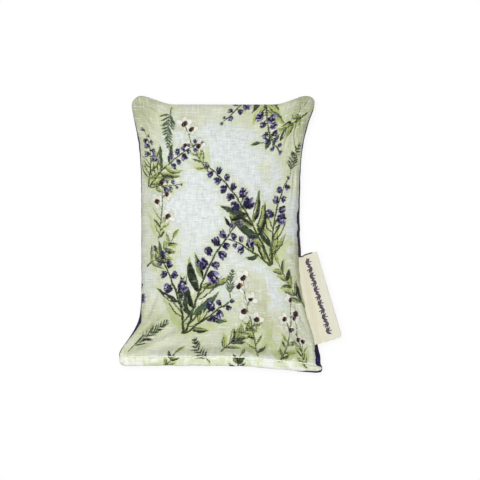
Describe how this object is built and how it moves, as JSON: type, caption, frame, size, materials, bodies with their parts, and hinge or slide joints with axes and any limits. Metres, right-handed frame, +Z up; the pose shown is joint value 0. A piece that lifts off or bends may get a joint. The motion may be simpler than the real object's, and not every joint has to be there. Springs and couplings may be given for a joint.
{
  "type": "lavender sachet",
  "caption": "Small stuffed cotton bag of dried lavender with a topstitched flat hem along the bottom and a folded label tape that flaps in its side seam.",
  "frame": {"origin": "middle of the flat patch on the back panel on which the sachet rests", "axes": "+X towards the label's side, seen from the front, +Y along the length towards the top edge, +Z up through the printed front panel"},
  "size_m": [0.1174, 0.147, 0.0429],
  "materials": {
    "front_cloth": "printed plain-weave cotton, pale ground with leaves and small blossoms",
    "back_cloth": "mottled deep purple plain-weave cotton",
    "label_tape": "cream cotton tape, fine close weave",
    "sewing_thread": "cream spun polyester thread",
    "lavender_buds": "loose dried buds, grey violet"
  },
  "bodies": {
    "bag": {"front_panel": "front_cloth", "back_panel": "back_cloth", "lavender_filling": "lavender_buds", "label_tail": "label_tape", "hem_needle_thread": "sewing_thread", "hem_bobbin_thread": "sewing_thread", "seam_needle_thread": "sewing_thread", "seam_bobbin_thread": "sewing_thread"},
    "label": {"label_flap": "label_tape"}
  },
  "joints": [
    {"name": "label_fold", "type": "hinge", "parent": "bag", "child": "label", "pos_m": [0.04733, -0.03439, 0.01853], "axis": [0.181, -0.9835, 0], "range_deg": [-75, 75], "stiffness_Nm_per_rad": 0.0002}
  ]
}
